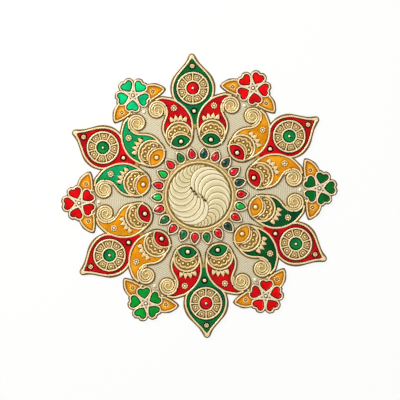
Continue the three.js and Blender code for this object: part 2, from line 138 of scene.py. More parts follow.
# Flower: y outward, hearts round the point where they meet
HEART_SIDE = [(0, 4.8), (3.9, 8.0), (6.4, 11.6), (5.8, 15.1), (3.0, 16.3)]
HEART_NOTCH = (0, 15.0)
LOBE_SIDE = [(0, 4.9), (3.6, 8.1), (6.2, 11.6), (5.6, 15.2), (3.0, 16.4)]
LOBE_NOTCH = (0, 14.9)
LEAF_EDGE = [(-12, -14), (-20, -16), (-26.5, -15.8), (-31.6, -14.3), (-32.6, -12.8), (-31.9, -9.4),
             (-30.3, -6.7), (-28.8, -4.3), (-27.1, -2.3), (-25.2, -1.0), (-23.3, 0), (-21.2, 0.9), (-12, 3)]
LEAF_CURVE = [(-12, -12.6), (-20, -14.2), (-25, -13.8), (-30.0, -12.4), (-29.1, -8.6), (-25.4, -4.0),
              (-20, -0.6), (-12, 0.5)]
LEAF_ROSETTE = -19.5 + 117.7j
LEAF_BEAD = 12 + 111j
STAR_RADII = (4.2, 10.8)

# Drop stone: y outward through its point
DROP_SIDE = [(0, 38.95), (2.9, 40.2), (4.05, 43), (3.6, 45.6), (1.9, 48.6), (0, 50.3)]

# How far the plate's rim stands off the middle of the ridges of paisleys and hearts
PAISLEY_RIM = 2.35
HEART_RIM = 2.7

# Curves and outlines


def points(pairs):
    """The (x, y) pairs of a table as complex numbers."""
    return [complex(x, y) for x, y in pairs]


def mirrored(path):
    return [complex(-p.real, p.imag) for p in reversed(path)]


def both_sides(side):
    """A line that goes up the right side and down the left."""
    return side + mirrored(side)[1:]


def folded(side, degrees):
    """A line up to the ray at an angle, and its reflection from there on."""
    return side + [ray(1, 2 * degrees) * p.conjugate() for p in reversed(side[:-1])]


def turned(path, degrees):
    return [p * ray(1, degrees) for p in path]


def moved(path, by):
    return [p + by for p in path]


def ray(radius, degrees, centre=0):
    return centre + cmath.rect(radius, math.radians(degrees))


def arc(radius, start, end, centre=0, pitch=0.8):
    steps = max(4, round(abs(radius * math.radians(end - start)) / pitch))
    return [ray(radius, start + (end - start) * i / steps, centre) for i in range(steps + 1)]


def circle(radius, centre=0, pitch=0.8):
    return arc(radius, 0, 360, centre, pitch)[:-1]


def evenly(path, pitch, closed=False):
    """The same line with its points a pitch apart."""
    line = path + path[:1] if closed else path
    lengths = [0.0]
    for a, b in zip(line, line[1:]):
        lengths.append(lengths[-1] + abs(b - a))
    count = max(3, round(lengths[-1] / pitch))
    made, j = [], 0
    for i in range(count if closed else count + 1):
        along = lengths[-1] * i / count
        while j < len(line) - 2 and lengths[j + 1] < along:
            j += 1
        share = (along - lengths[j]) / max(lengths[j + 1] - lengths[j], 1e-9)
        made.append(line[j] + (line[j + 1] - line[j]) * share)
    return made


def smooth(path, closed=False, pitch=0.8):
    """A round line through the points, resampled evenly."""
    count, steps = len(path), 12
    made = []
    for i in range(count if closed else count - 1):
        around = [i + k for k in (-1, 0, 1, 2)]
        p0, p1, p2, p3 = (path[j % count if closed else min(max(j, 0), count - 1)] for j in around)
        for t in [s / steps for s in range(steps)]:
            made.append(0.5 * (2 * p1 + (p2 - p0) * t + (2 * p0 - 5 * p1 + 4 * p2 - p3) * t * t
                               + (3 * p1 - 3 * p2 + p3 - p0) * t ** 3))
    return evenly(made if closed else made + path[-1:], pitch, closed)


def unit(way):
    return way / max(abs(way), 1e-9)


def sideways(path, closed=False):
    """At each point, the way to the right of the line, longer where the line bends."""
    steps = [unit(b - a) for a, b in zip(path, path[1:] + path[:1])]
    if not closed:
        steps[-1] = steps[-2]
    ways = []
    for i, leaving in enumerate(steps):
        arriving = steps[i - 1] if i or closed else leaving
        heading = unit((arriving or leaving) + (leaving or arriving))
        stretch = min(1 / max((heading * (leaving or arriving).conjugate()).real, 0.6), 1.6)
        ways.append(heading * -1j * stretch)
    return ways


def wound(outline):
    """The outline, counterclockwise."""
    area = sum((a.conjugate() * b).imag for a, b in zip(outline, outline[1:] + outline[:1]))
    return outline if area > 0 else outline[::-1]


def grown(outline, distance):
    """A counterclockwise outline moved outward."""
    return [p + w * distance for p, w in zip(outline, sideways(outline, True))]


def inside(p, outline):
    hit = False
    for a, b in zip(outline, outline[1:] + outline[:1]):
        if (a.imag > p.imag) != (b.imag > p.imag):
            if p.real < a.real + (p.imag - a.imag) * (b.real - a.real) / (b.imag - a.imag):
                hit = not hit
    return hit


def near(line):
    """A measure of how far any point lies from a densely drawn line."""
    tree = KDTree(len(line))
    for i, p in enumerate(line):
        tree.insert((p.real, p.imag, 0), i)
    tree.balance()
    return lambda p: tree.find((p.real, p.imag, 0))[2]


def rim_of(faces):
    """The loops of edges that only one face has, each as a list of vertex numbers."""
    border = {}
    for face in faces:
        for a, b in zip(face, face[1:] + face[:1]):
            if (b, a) in border:
                del border[b, a]
            else:
                border[a, b] = True
    following = {}
    for a, b in border:
        following.setdefault(a, []).append(b)
    loops = []
    for start in list(following):
        while following[start]:
            loop, at = [start], following[start].pop()
            while at != start:
                loop.append(at)
                at = following[at].pop()
            loops.append(loop)
    return loops


def union(outlines):
    """The loop round everything that the overlapping outlines cover."""
    coords, rings = [], []
    for outline in outlines:
        rings.append(list(range(len(coords), len(coords) + len(outline))))
        coords += [Vector((p.real, p.imag)) for p in outline]
    verts, _, faces, _, _, sources = delaunay_2d_cdt(coords, [], rings, 0, 1e-5)
    loops = rim_of([face for face, source in zip(faces, sources) if source])
    return [complex(*verts[i]) for i in max(loops, key=len)]


# Solid forms

# The looks of metalwork, by their places in the list that metals() gives. The patina look is also painted
# shade in hollows, gaps and round beads; the pale look carries a whiter painted highlight on top
CREST, LOW, WHITE, PATINA_AND_SHADE, PALE = range(5)
# Edges with a steeper bend than this, in degrees, are drawn sharp
SHARP_ANGLE = 35


class Form:
    """The faces of one piece, gathered in millimetres, each with the index of its material."""

    def __init__(self):
        self.verts = []
        self.faces = []
        self.looks = []

    def add(self, verts, faces, look=CREST):
        start = len(self.verts)
        self.verts += verts
        self.faces += [[start + i for i in face] for face in faces]
        self.looks += [look] * len(faces)

    def sweep(self, path, section, closed=False, look=CREST, taper=0.0):
        """A bar along a path, with a section of (across, height) points, across to the right."""
        ways = sideways(path, closed)
        floor = min(z for _, z in section)
        length = sum(abs(b - a) for a, b in zip(path, path[1:]))
        verts, along = [], 0.0
        for i, (p, way) in enumerate(zip(path, ways)):
            along += abs(p - path[i - 1]) if i else 0
            end = min(along, length - along)
            size = 1.0 if closed or end >= taper else math.sqrt(0.12 + 0.88 * end / taper)
            for across, z in section:
                q = p + way * across * size
                verts.append((q.real, q.imag, floor + (z - floor) * size))
        wide, count = len(section), len(path)
        faces = []
        for i in range(count if closed else count - 1):
            a, b = i * wide, (i + 1) % count * wide
            faces += [[a + j, b + j, b + (j + 1) % wide, a + (j + 1) % wide] for j in range(wide)]
        if not closed:
            faces += [list(range(wide)), list(range((count - 1) * wide, count * wide))]
        self.add(verts, faces, look)

    def pillow(self, outline, levels, look=CREST, centre=None):
        """A closed form over an outline, through levels of (inset, height), lowest first."""
        verts = []
        for inset, z in levels:
            verts += [(p.real, p.imag, z) for p in grown(outline, -inset)]
        count = len(outline)
        faces = [list(range(count))]
        for k in range(len(levels) - 1):
            a, b = k * count, (k + 1) * count
            faces += [[a + j, a + (j + 1) % count, b + (j + 1) % count, b + j] for j in range(count)]
        ring = (len(levels) - 1) * count
        if centre is None:
            faces.append(list(range(ring, ring + count)))
        else:
            verts.append((centre[0].real, centre[0].imag, centre[1]))
            faces += [[ring + j, ring + (j + 1) % count, ring + count] for j in range(count)]
        self.add(verts, faces, look)

    def bead(self, centre, radius, z, rise=0.8, look=CREST, sides=12):
        """A round bead that stands on a face of height z."""
        levels = [(0, z - 0.25), (0, z + 0.15 * radius)]
        levels += [(radius * (1 - math.cos(a)), z + radius * (0.15 + rise * math.sin(a))) for a in (0.5, 1.0)]
        outline = [ray(radius, 360 * i / sides, centre) for i in range(sides)]
        self.pillow(outline, levels, look, (centre, z + radius * (0.15 + rise)))

    def disc(self, radius, low, high, centre=0, look=CREST):
        self.pillow(circle(radius, centre), [(0, low), (0, high)], look)

    def ink(self, loop, z, wide):
        """A closed line of dark patina on a face of height z: also painted shade, where it rings a bead or
        follows a groove.
        """
        self.sweep(loop, even([(wide / 2, z - 0.1), (wide / 2, z + 0.02), (0, z + 0.04)]), True, PATINA_AND_SHADE)

    def pool(self, outline, height, low, pitch, seeds=()):
        """A filled cell: its top follows height(point) between the walls of the outline."""
        ring = evenly(outline, pitch, True)
        edge = near(ring)
        drawn = near(seeds) if seeds else None
        grid = [p for p in seeds if edge(p) > 0.4 * pitch]
        y, row = min(p.imag for p in ring), 0
        row_height = 0.87 * pitch
        while y < max(p.imag for p in ring):
            x = min(p.real for p in ring) + (row % 2) * pitch / 2
            while x < max(p.real for p in ring):
                p = complex(x, y)
                if edge(p) > 0.55 * pitch and inside(p, ring) and (not drawn or drawn(p) > 0.6 * pitch):
                    grid.append(p)
                x += pitch
            y += row_height
            row += 1
        coords = [Vector((p.real, p.imag)) for p in ring + grid]
        made, _, faces, _, _, _ = delaunay_2d_cdt(coords, [], [list(range(len(ring)))], 1, 1e-6)
        made = [complex(*v) for v in made]
        loop = max(rim_of(faces), key=len)
        count, size = len(made), len(loop)
        verts = [(p.real, p.imag, height(p)) for p in made]
        verts += [(made[i].real, made[i].imag, low) for i in loop]
        walls = [[loop[j], loop[(j + 1) % size], count + (j + 1) % size, count + j] for j in range(size)]
        self.add(verts, faces + walls + [[count + j for j in range(size)]])
        return self

    def placed(self, matrix):
        """The same form moved by a matrix."""
        made = Form()
        made.verts = [tuple(matrix @ Vector(v)) for v in self.verts]
        made.faces, made.looks = self.faces, self.looks
        return made

    def build(self, name, materials, sharp=SHARP_ANGLE):
        """The form as a mesh object, with its faces outward and its round faces smooth."""
        mesh = bpy.data.meshes.new(name)
        mesh.from_pydata([[c * MM for c in v] for v in self.verts], [], self.faces)
        for material in materials:
            mesh.materials.append(material)
        mesh.polygons.foreach_set("material_index", self.looks)
        work = bmesh.new()
        work.from_mesh(mesh)
        bmesh.ops.recalc_face_normals(work, faces=work.faces)
        work.to_mesh(mesh)
        work.free()
        mesh.shade_smooth()
        mesh.set_sharp_from_angle(angle=math.radians(sharp))
        piece = bpy.data.objects.new(name, mesh)
        bpy.context.collection.objects.link(piece)
        return piece


def seat(form, name, materials, slot, *nodes, sharp=SHARP_ANGLE):
    """Makes a form a piece on the plate's body, and hides the solids that it stands for. Its slot is not
    used.
    """
    piece = form.build(name, materials, sharp)
    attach(piece, BODY)
    if nodes:
        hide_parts(*nodes)
    return piece


def sector(k, half=0):
    """The place of petal k, or with half=1 of the lobe next to it."""
    return Matrix.Rotation(math.radians(SECTOR_ANGLE * (k + half / 2)), 4, "Z")


def paisley_place(k, side):
    """The place of the paisley on one side of petal k: side is 1 for left and -1 for right."""
    turn = Matrix.Rotation(math.radians(side * PAISLEY_SPREAD), 4, "Z")
    return sector(k) @ turn @ Matrix.Translation((0, PAISLEY_ORBIT, 0)) @ Matrix.Diagonal((-side, 1, 1, 1))


# Sections of the raised lines, as (across, height) from the foot up to the middle and down again


def even(half):
    """A section with both its sides."""
    return half + [(-across, z) for across, z in reversed(half[:-1])]


def scaled(section, share):
    return [(across * share, z) for across, z in section]


CLOISON = even([(2.3, BASE_TOP), (2.25, 2.5), (2.0, 2.7), (1.75, 2.7), (1.5, 2.3), (1.14, 2.32), (0.98, 3.1),
                (0.86, 3.5), (0.7, 3.82), (0.46, 4.06), (0.22, 4.13), (0, RIDGE_TOP + 0.05)])
WIRE = even([(1.45, BASE_TOP), (1.4, 2.3), (0.92, 2.5), (0.8, 3.2), (0.68, 3.6), (0.5, 3.92), (0.28, 4.1),
             (0, 4.14)])
WHEEL = even([(1.0, ENAMEL_TOP), (0.95, 3.4), (0.8, 3.62), (0.66, 4.0), (0.5, 4.4), (0.28, 4.56), (0, 4.6)])
STRAND = even([(1.2, BASE_TOP), (1.15, 2.8), (0.92, 3.15), (0.68, 3.4), (0.35, 3.52), (0, 3.54)])
FINE = even([(0.95, 2.8), (0.85, 3.3), (0.68, 3.62), (0.35, 3.85), (0, 3.9)])
SLOT_WIRE = even([(0.9, 4.0), (0.85, 4.62), (0, 4.66)])
GALLERY_RING = even([(1.2, BASE_TOP), (1.2, 2.9), (0.9, 3.12), (0, 3.2)])
MIDDLE_RING = [(-1.5, BASE_TOP), (-1.5, 2.9), (-0.55, 2.95), (-0.3, 3.4), (0.1, 3.8), (0.4, 4.05),
               (0.9, 4.05), (1.2, 3.8), (1.45, 3.1), (1.8, 2.9), (2.1, 2.85), (2.1, BASE_TOP)]

# Rounded tops, as (distance in from the outline, height)
RIM_LEVELS = [(0.45, 0), (0.1, 0.25), (0, 0.6), (0, 1.45), (0.12, 1.8), (0.5, BASE_TOP)]
HEART_LEVELS = [(0, 3.5), (0.9, 3.62), (1.2, 3.78), (1.9, 3.88), (2.7, 3.94), (4.0, 3.96)]
STONE_LEVELS = [(0, 3.4), (0.95, 3.6), (1.25, 4.0), (1.65, 4.35), (2.1, 4.6), (2.7, 4.78), (4.0, 4.9)]


def meniscus(walls, dips=(), lift=0.0, reach=0.7):
    """Enamel's height at a point: drawn up along its walls, and hollowed in a ring round each dip."""
    away = near([q for wall in walls for q in wall])

    def height(p):
        z = ENAMEL_TOP - 0.02 + lift + 0.36 * math.exp(-max(away(p) - 0.8, 0) / reach)
        for centre, inner, outer, depth in dips:
            off = abs(p - centre)
            if inner < off < outer:
                z -= depth * math.sin(math.pi * (off - inner) / (outer - inner))
        return z

    return height


def rising(outline, levels):
    """A height that goes through levels of (distance in from the outline, height)."""
    away = near(evenly(outline, 0.2, True))

    def height(p):
        deep = away(p)
        for (start, low), (end, high) in zip(levels, levels[1:]):
            if deep < end:
                return low + (high - low) * (deep - start) / (end - start)
        return levels[-1][1]

    return height


# Materials


def linear(code):
    """A colour written as sRGB hex, in linear light."""
    values = [int(code[i:i + 2], 16) / 255 for i in (1, 3, 5)]
    return [v / 12.92 if v <= 0.04045 else ((v + 0.055) / 1.055) ** 2.4 for v in values]


def rgba(color):
    return (*color[:3], 1.0)


def add_node(owner, kind, inputs=None, out=0, **settings):
    """Adds a shader node with its settings, links or sets its inputs by name, and gives one output."""
    made = owner.node_tree.nodes.new("ShaderNode" + kind)
    for key, value in settings.items():
        setattr(made, key, value)
    for name, source in (inputs or {}).items():
        if isinstance(source, bpy.types.NodeSocket):
            owner.node_tree.links.new(source, made.inputs[name])
        else:
            made.inputs[name].default_value = source
    return made.outputs[out]


def sockets(material):
    """The inputs of a material's own shader."""
    return material.node_tree.nodes["Principled BSDF"].inputs


def blank(name, **values):
    """A new material, with values on its shader's own sockets."""
    material = bpy.data.materials.new(name)
    material.use_nodes = True
    for key, value in values.items():
        sockets(material)[key.replace("_", " ")].default_value = value
    return material


def by_height(material, stops, blur=0.05, grain=900):
    """A colour that changes with height above the table: painted shade low down, painted highlight high up,
    and patina. Stops are (mm, colour).
    """
    place = add_node(material, "TexCoord", out="Object")
    height = add_node(material, "SeparateXYZ", {"Vector": place}, "Z")
    speck = add_node(material, "TexNoise", {"Vector": place, "Scale": grain, "Detail": 3.0})
    low, high = stops[0][0], stops[-1][0]
    wobble = add_node(material, "Math", {0: speck, 1: 2 * blur * MM, 2: -blur * MM}, operation="MULTIPLY_ADD")
    lifted = add_node(material, "Math", {0: height, 1: wobble}, operation="ADD")
    share = add_node(material, "MapRange", {"Value": lifted, "From Min": low * MM, "From Max": high * MM})
    ramp = add_node(material, "ValToRGB", {"Fac": share})
    elements = ramp.node.color_ramp.elements
    for i, (z, color) in enumerate(stops):
        spot = (z - low) / (high - low)
        element = elements[i] if i < 2 else elements.new(spot)
        element.position = spot
        element.color = rgba(color)
    return ramp, place


def clouds(material, one, other, scale, detail=2.0, start=0.0, end=1.0):
    """Two colours in soft clouds, and the place that they are drawn from."""
    place = add_node(material, "TexCoord", out="Object")
    cloud = add_node(material, "TexNoise", {"Vector": place, "Scale": scale, "Detail": detail})
    share = add_node(material, "MapRange", {"Value": cloud, "From Min": start, "From Max": end})
    mixed = add_node(material, "Mix", {"Factor": share, "A": rgba(one), "B": rgba(other)}, "Result",
                     data_type="RGBA")
    return mixed, place


def finish(material, color, place, bump=0.0, grain=1500, mottle=0.0, patch=120):
    """Gives a material its colour, with cloudy patches in it and a fine grain on the surface."""
    links = material.node_tree.links
    if mottle:
        cloud = add_node(material, "TexNoise", {"Vector": place, "Scale": patch, "Detail": 2.0})
        tone = add_node(material, "MapRange", {"Value": cloud, "From Min": 0.3, "From Max": 0.7,
                                               "To Min": 1 - mottle, "To Max": 1 + mottle})
        color = add_node(material, "VectorMath", {0: color, "Scale": tone}, operation="SCALE")
    links.new(color, sockets(material)["Base Color"])
    if bump:
        pits = add_node(material, "TexNoise", {"Vector": place, "Scale": grain, "Detail": 2.0})
        dents = add_node(material, "Bump", {"Height": pits, "Distance": 0.1 * MM, "Strength": bump})
        links.new(dents, sockets(material)["Normal"])
    return material


def cloison_gold(name, colors, top):
    """Gilded brass wire, coloured by height: brown creases at its foot as patina and painted shade, a crest
    lightened as painted highlight, and a painted highlight on top.
    """
    material = blank(name, Metallic=0.2, Roughness=0.33)
    # Lit and shaded copies of one gilt: painted shade at the foot and in the step, painted highlight on the
    # crest and top
    stops = [(2.1, colors.crease), (2.5, colors.crease), (2.68, colors.flank), (2.85, colors.crease),
             (3.3, colors.flank), (3.7, colors.crest), (4.08, top)]
    return finish(material, *by_height(material, stops), bump=0.15, grain=1400)


def strand_gold(name, colors):
    """Gilded brass in low relief, matt from the die: yellow gold, with a painted highlight on top and painted
    shade in brown where it meets the ground.
    """
    material = blank(name, Metallic=0.25, Roughness=0.36)
    # Painted shade at the foot, painted highlight on top
    stops = [(2.75, colors.crease), (3.0, colors.flank), (3.3, colors.strand), (3.7, colors.shine)]
    return finish(material, *by_height(material, stops), bump=0.25, grain=1100, mottle=0.08)


def patina(name, deep, light):
    """Lamp-black and wax wiped over gilt brass, brown and nearly matt: patina in the engraved lines, and also
    painted shade in hollows, gaps, slots and round beads.
    """
    material = blank(name, Metallic=0.1, Roughness=0.5)
    return finish(material, *clouds(material, deep, light, 400), bump=0.2)


def plate_brass(name, colors):
    """Stamped gilt brass sheet, satin: brown gold, darkened as painted shade for its low rim and the corners
    between the pieces, and darker still towards the bottom of its side.
    """
    material = blank(name, Metallic=0.25, Roughness=0.42)
    # Painted shade: darker towards the bottom of the plate's side
    stops = [(0.0, colors.edge), (1.4, colors.border), (2.0, colors.border)]
    return finish(material, *by_height(material, stops), bump=0.2, grain=800, mottle=0.15, patch=160)


# What enamel shows at a height: painted shade at its rim, or its clear body
RIM, CLEAR = (0, 0, 0), (1, 1, 1)


def melted(material, color, other, rim, depths, cloud):
    """Enamel of two clouded tints, with painted shade at the heights of its rim and clear at the others."""
    body, place = clouds(material, color, other, cloud, 1.0, 0.38, 0.66)
    depth, _ = by_height(material, depths, blur=0.02, grain=500)
    tint = add_node(material, "Mix", {"Factor": depth, "A": rgba(rim), "B": body}, "Result", data_type="RGBA")
    return finish(material, tint, place, mottle=0.2, patch=110)


def enamel(name, color, other, rim, lift=0.0):
    """Translucent fired enamel, ground flush and flashed: deep colour, with painted shade where it meets the
    metal and in the hollow round each dip.
    """
    material = blank(name, Roughness=0.1, IOR=1.5, Coat_Weight=0.4, Coat_Roughness=0.04)
    # Heights of painted shade: low in the hollow round each dip, high along the walls
    depths = [(2.98 + lift, RIM), (3.12 + lift, CLEAR), (3.24 + lift, CLEAR), (3.34 + lift, RIM)]
    return melted(material, color, other, rim, depths, 70)


def set_enamel(name, color, other, rim):
    """Enamel fired over foil in a deep cell: bright and glossy, with painted shade almost black where it
    meets the metal.
    """
    material = blank(name, Roughness=0.14, IOR=1.5, Coat_Weight=0.5, Coat_Roughness=0.05)
    return melted(material, color, other, rim, [(3.3, RIM), (3.62, RIM), (3.76, CLEAR), (3.9, CLEAR)], 80)


def cut_glass(name, color, rim):
    """Foil-backed pressed glass: a clear bright colour inside, with painted shade dark at the girdle and a
    hard gloss.
    """
    material = blank(name, Roughness=0.07, IOR=1.52, Coat_Weight=0.2, Coat_Roughness=0.02)
    stops = [(3.0, rim), (3.75, rim), (4.05, color), (5.0, color)]
    return finish(material, *by_height(material, stops, grain=300), mottle=0.3, patch=170)


def pearl_white(name, colors):
    """Half pearls, cultured: creamy white with a soft sheen."""
    material = blank(name, Roughness=0.18, IOR=1.53, Coat_Weight=0.5)
    return finish(material, *clouds(material, colors.relief, colors.pearl, 600))


def hatched_gold(name, colors, pitch):
    """Gilded ground, engine-turned with fine parallel lines: pale beige, each line a soft groove."""
    # The real lines look finer than the photo's pixels. They are drawn coarser, so that they show.
    material = blank(name, Metallic=0.2, Roughness=0.42)
    lines = add_node(material, "UVMap", uv_map="hatch")
    across = add_node(material, "SeparateXYZ", {"Vector": lines}, "Y")
    phase = add_node(material, "Math", {0: across, 1: 2 * math.pi / pitch}, operation="MULTIPLY")
    wave = add_node(material, "Math", {0: phase}, operation="SINE")
    share = add_node(material, "MapRange", {"Value": wave, "From Min": -1.0, "From Max": 1.0})
    place = add_node(material, "TexCoord", out="Object")
    speck = add_node(material, "TexNoise", {"Vector": place, "Scale": 700.0, "Detail": 2.0})
    worn = add_node(material, "Math", {0: speck, 1: 0.7, 2: -0.35}, operation="MULTIPLY_ADD")
    mixed = add_node(material, "Math", {0: share, 1: worn}, operation="ADD", use_clamp=True)
    tint = add_node(material, "Mix", {"Factor": mixed, "A": rgba(colors.groove), "B": rgba(colors.ground)},
                    "Result", data_type="RGBA")
    dents = add_node(material, "Bump", {"Height": mixed, "Distance": 0.25 * MM, "Strength": 0.4})
    material.node_tree.links.new(dents, sockets(material)["Normal"])
    return finish(material, tint, place)


def relief_lacquer(name, colors):
    """Cream lacquer over a cast relief: soft satin scales, with painted shade in brown in the steps and on
    the slope down to the next scale.
    """
    material = blank(name, Metallic=0.1, Roughness=0.4)
    # Painted shade in the steps and on the slopes, lit cream on the tops
    stops = [(3.5, colors.patina), (3.85, colors.relief_low), (4.05, colors.relief_shade),
             (4.26, colors.relief_shade), (4.44, colors.relief), (4.7, colors.relief)]
    return finish(material, *by_height(material, stops, 0.03, 400), bump=0.12, grain=500, mottle=0.05)


def stage_white():
    """Matt paper: plain white to the eye, and it still takes the plate's shadow."""
    material = blank("stage paper", Base_Color=(0.92, 0.92, 0.92, 1), Roughness=0.9)
    nodes = material.node_tree.nodes
    rays = add_node(material, "LightPath").node.outputs
    seen = rays["Is Camera Ray"]
    for kind in ("Is Glossy Ray", "Is Transmission Ray"):
        seen = add_node(material, "Math", {0: seen, 1: rays[kind]}, operation="MAXIMUM")
    share = add_node(material, "Math", {0: seen, 1: 0.9}, operation="MULTIPLY")
    glow = add_node(material, "Emission", {"Color": (1, 1, 1, 1), "Strength": 1.0})
    mixed = add_node(material, "MixShader", {0: share, 1: nodes["Principled BSDF"].outputs[0], 2: glow})
    material.node_tree.links.new(mixed, nodes["Material Output"].inputs["Surface"])
    return material


MADE = {}


def look(maker, name, *args):
    """One material of each name, made when it is first needed."""
    if name not in MADE:
        MADE[name] = maker(name, *args)
    return MADE[name]


# Settings that a user would change


def swatch(title, about, code):
    return FloatVectorProperty(name=title, description=about, subtype="COLOR", size=3, min=0, max=1,
                               default=linear(code))


class ThaliColours(bpy.types.PropertyGroup):
    """Colours of the metal, enamel and stones"""

    # Crest and shine are painted highlight on the tops of the gilding
    crest: swatch("Crest", "Top of the raised lines, lightened as painted highlight", "#f3cf86")
    shine: swatch("Shine", "Painted highlight on the highest points of the gilding", "#ffefc4")
    # Pale: a whiter painted highlight on the wires round the hearts and stones
    pale: swatch("Pale crest", "Raised lines worn white, round the hearts and the stones", "#fff0d2")
    flank: swatch("Flank", "Side of the raised lines", "#b48a30")
    # Crease, patina and engraving: patina and painted shade in creases, lines and hollows
    crease: swatch("Crease", "Patina and painted shade where a raised line meets the ground", "#76561a")
    patina: swatch("Patina", "Darkest patina and painted shade, in the engraved lines and hollows", "#4a340c")
    engraving: swatch("Engraving", "Patina and painted shade, lighter, in the engraved lines and hollows", "#6e4e14")
    strand: swatch("Strand", "Low relief between the raised lines", "#f0d88e")
    # Border and edge are brown gold darkened as painted shade, the edge darkest
    border: swatch("Border", "Rim of the plate outside the ornament, darkened as painted shade", "#6e4e1a")
    edge: swatch("Edge", "Side of the plate, darkened as painted shade", "#5c3e0e")
    ground: swatch("Ground", "Hatched ground between the paisleys", "#f4edd6")
    groove: swatch("Groove", "Lines in the hatched ground", "#cabf98")
    pearl: swatch("Pearl", "Half pearls", "#fffdf6")
    relief: swatch("Relief", "Scales of the middle medallion", "#fdf5d8")
    # Relief shade and relief step are painted shade on the scales
    relief_shade: swatch("Relief shade", "Scales where they slope down to the next", "#e4d6a8")
    relief_low: swatch("Relief step", "Painted shade on the lower side of the scales", "#b89c58")
    green: swatch("Green", "Green enamel", "#0b7c36")
    bright_green: swatch("Bright green", "Bright green enamel", "#12a868")
    dark_green: swatch("Dark green", "Dark green enamel", "#065a28")
    red: swatch("Red", "Red enamel", "#d80e14")
    orange: swatch("Orange", "Amber enamel", "#e69006")
    heart_green: swatch("Heart green", "Green enamel over foil", "#0aa834")
    heart_bright_green: swatch("Heart bright green", "Bright green enamel over foil", "#06dc88")
    heart_dark_green: swatch("Heart dark green", "Dark green enamel over foil", "#04702c")
    heart_red: swatch("Heart red", "Red enamel over foil", "#f2060c")


def length(title, about, size, least):
    return FloatProperty(name=title, description=about, default=size * MM, min=least * MM, unit="LENGTH")


class ThaliSizes(bpy.types.PropertyGroup):
    """Sizes of the fine relief"""

    hatch_pitch: length("Hatch pitch", "Distance between the lines of the hatched ground", 1.9, 0.2)
    pearl_radius: length("Pearl radius", "Radius of the pearls in the paisleys' eyes", 2.0, 0.5)
    dot_radius: length("Dot radius", "Radius of the dots in the rosettes", 0.9, 0.2)
    cell_pitch: length("Cell pitch", "Spacing of the points in the enamel's surface", 0.7, 0.3)


# For each enamel: its second tint and the colour of the painted shade at its rim
ENAMELS = {"green": ("#0a6440", "#021c0e"), "bright_green": ("#0e9448", "#02200f"),
           "dark_green": ("#0a4a2c", "#021d0d"), "red": ("#b80a1a", "#3c0204"),
           "orange": ("#eea41c", "#a8640a")}
PETAL_COLOURS = ["green", "red", "red", "green", "red", "red"]
PAISLEY_COLOURS = ["red", "bright_green", "orange", "red", "dark_green", "orange"]
EYE_COLOURS = ["green", "orange", "red", "green", "orange", "red"]
FLOWER_COLOURS = ["bright_green", "red", "green", "red", "dark_green", "red"]
# For each glass: its colour and the colour of the painted shade at its girdle
STONES = {"red": ("#e00e14", "#180102"), "green": ("#067830", "#010c04"),
          "bright green": ("#10bc44", "#011606"), "deep green": ("#054430", "#02140e")}
# Painted light and shade: the lit stones take the bright green glass and the shaded ones the deep green
LIT_STONES = (3, 5, 15)
SHADED_STONES = (13, 17, 19, 21)


def fired(color, kind="enamel", *more, bright=1.0):
    """The material of one enamel colour, and its slot."""
    other, rim = (linear(code) for code in ENAMELS[color])
    tint = [bright * c for c in getattr(bpy.context.scene.thali_colours, color)]
    return [look(enamel, f"{color.replace('_', ' ')} {kind}", tint, other, rim, *more)], "enamel_" + color


def foiled(color):
    """The material of one enamel colour over foil, and its slot."""
    tint = getattr(bpy.context.scene.thali_colours, "heart_" + color)
    name = f"{color.replace('_', ' ')} enamel over foil"
    rim = linear(ENAMELS[color][1])
    return [look(set_enamel, name, tint, [0.7 * c for c in tint], rim)], "enamel_" + color


def metals():
    """The finishes that all the metalwork shares, and their slot."""
    colors = bpy.context.scene.thali_colours
    return [look(cloison_gold, "gilt brass wire", colors, colors.shine),
            look(strand_gold, "gilt brass low relief", colors),
            look(pearl_white, "half pearl", colors),
            # Patina and painted shade in lines and hollows
            look(patina, "patina in engraved lines", colors.patina, colors.engraving),
            look(cloison_gold, "worn brass wire", colors, colors.pale)], "cloison_gold"


# Ornament in plan


def dots(form, centre, reach, radius, z, **kind):
    """A ring of eight beads."""
    for i in range(8):
        form.bead(ray(reach, 45 * i + 22, centre), radius, z, **kind)


def rosette(form, centre, reach, dot, z, middle=1.3):
    """A middle bead and a ring of eight dots on a disc of patina and painted shade."""
    # Disc of patina and painted shade round the beads
    form.pillow(circle(reach + 0.1, centre), [(0, z - 0.2), (0, z + 0.1)], PATINA_AND_SHADE)
    form.bead(centre, middle, z + 0.1)
    dots(form, centre, reach, dot, z + 0.1, sides=8)


def curl_radius(turns):
    """The radius of a volute's line, from its radii at each quarter turn."""
    quarter = min(4 * turns, len(CURL_RADII) - 1.001)
    i = int(quarter)
    return CURL_RADII[i] + (CURL_RADII[i + 1] - CURL_RADII[i]) * (quarter - i)


def volute(start, end, inward=0.0):
    """The spiral line of a volute, counted in turns, or a line part of the way in to its next turn."""
    steps = round((end - start) * 60)
    turns = [start + (end - start) * i / steps for i in range(steps + 1)]
    radii = [curl_radius(t) * (1 - inward) + curl_radius(t + 1) * inward for t in turns]
    return [ray(radius, 180 - 360 * t, CURL_CENTRE) for t, radius in zip(turns, radii)]


def back_line():
    return smooth(points(BACK_CURVE))


def belly_line():
    return smooth(points(BELLY_CURVE) + volute(0, 0.05))


def tail_cell():
    """The outline of a paisley's enamel tail, on the middle of its ridges."""
    belly = smooth(points(BELLY_CURVE) + volute(0, 0.2))
    bulb = arc(BULB_RADIUS, 198, 4)
    return bulb + belly + list(reversed(smooth(points(BACK_CURVE))))[2:]


def eye_cell():
    """The outline of a paisley's enamel eye, between its lid and the bulb's ridge."""
    return arc(EYE_RADIUS, 22, 167, EYE_CENTRE) + arc(BULB_RADIUS, 222, 328)


def heart(side=HEART_SIDE, notch=HEART_NOTCH):
    """A heart's outline, with its tip at the flower's middle."""
    right = smooth(points(side), pitch=0.6)
    return right + points([notch]) + mirrored(right)[:-1]


